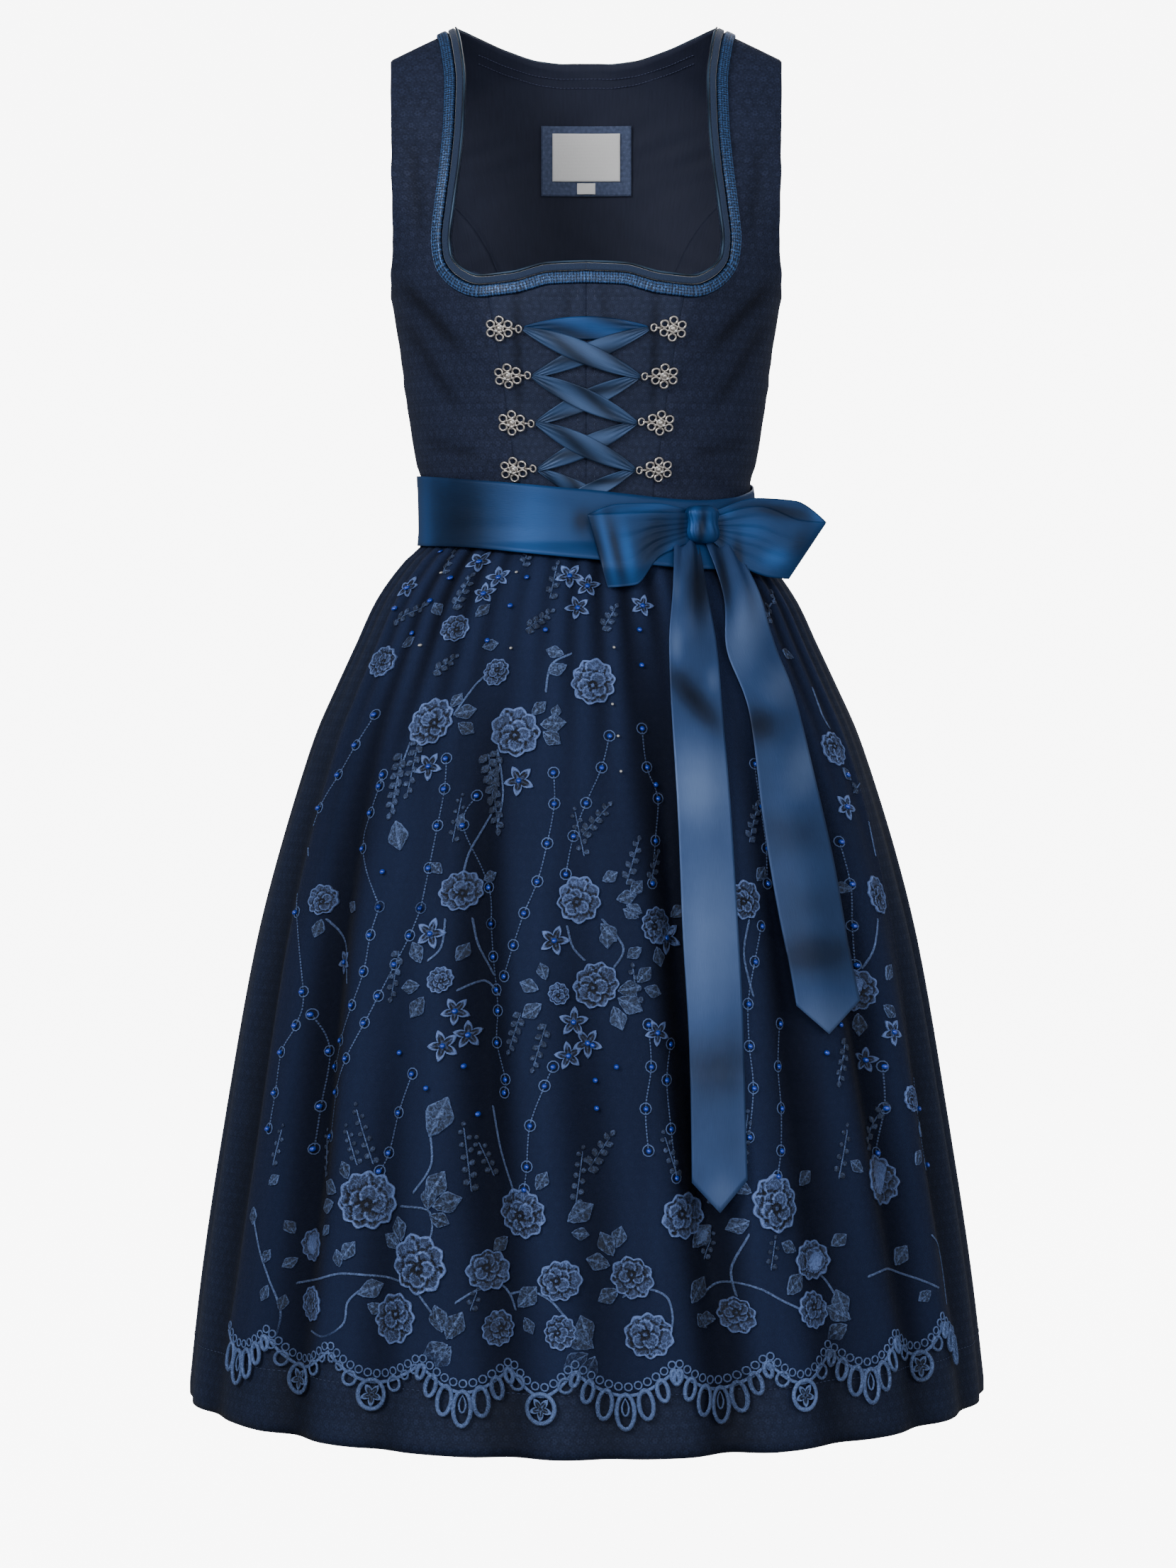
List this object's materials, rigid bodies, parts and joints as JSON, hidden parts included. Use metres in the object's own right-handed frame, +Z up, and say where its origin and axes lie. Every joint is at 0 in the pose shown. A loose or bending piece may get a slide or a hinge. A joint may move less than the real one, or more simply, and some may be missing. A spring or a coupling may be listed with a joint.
{
  "type": "dirndl",
  "caption": "Sleeveless laced folk dress with a square sweetheart neck, gathered midi skirt, lace apron and a satin sash tied in a bow.",
  "frame": {"origin": "midway between the two shoulder straps, at the height of their tops, where a wearer's shoulders hold the dress", "axes": "+Z up from the hem to the shoulders, +X to the wearer's left, +Y to the back"},
  "size_m": [0.618, 0.4777, 1.0403],
  "materials": {
    "bodice_jacquard": "satin jacquard",
    "centre_jacquard": "satin jacquard",
    "skirt_jacquard": "satin jacquard",
    "apron_lace": "embroidered net",
    "satin": "satin",
    "bow_satin": "satin",
    "lacing_satin": "satin ribbon",
    "velvet": "velvet",
    "braid": "woven braid with glitter thread",
    "silver": "antique silver",
    "patch": "plain weave",
    "label": "woven label, bare"
  },
  "bodies": {
    "root": {"apron_lace": "apron_lace", "bodice_back_centre": "bodice_jacquard", "bodice_centre_front_left": "centre_jacquard", "bodice_centre_front_right": "centre_jacquard", "bodice_side_back_left": "bodice_jacquard", "bodice_side_back_right": "bodice_jacquard", "bodice_side_front_left": "bodice_jacquard", "bodice_side_front_right": "bodice_jacquard", "bow_knot": "bow_satin", "bow_loop_left": "bow_satin", "bow_loop_right": "bow_satin", "bow_tail_left": "bow_satin", "bow_tail_right": "bow_satin", "hook_left_1": "silver", "hook_left_2": "silver", "hook_left_3": "silver", "hook_left_4": "silver", "hook_right_1": "silver", "hook_right_2": "silver", "hook_right_3": "silver", "hook_right_4": "silver", "label": "label", "label_patch": "patch", "lacing_1": "lacing_satin", "lacing_2": "lacing_satin", "lacing_3": "lacing_satin", "lacing_4": "lacing_satin", "lacing_5": "lacing_satin", "lacing_6": "lacing_satin", "lacing_7": "lacing_satin", "lacing_8": "lacing_satin", "lacing_9": "lacing_satin", "neck_braid_back": "braid", "neck_braid_left": "braid", "neck_braid_right": "braid", "neck_velvet_back": "velvet", "neck_velvet_left": "velvet", "neck_velvet_right": "velvet", "sash": "satin", "size_tag": "label", "skirt_back": "skirt_jacquard", "skirt_front": "skirt_jacquard"}
  },
  "joints": []
}
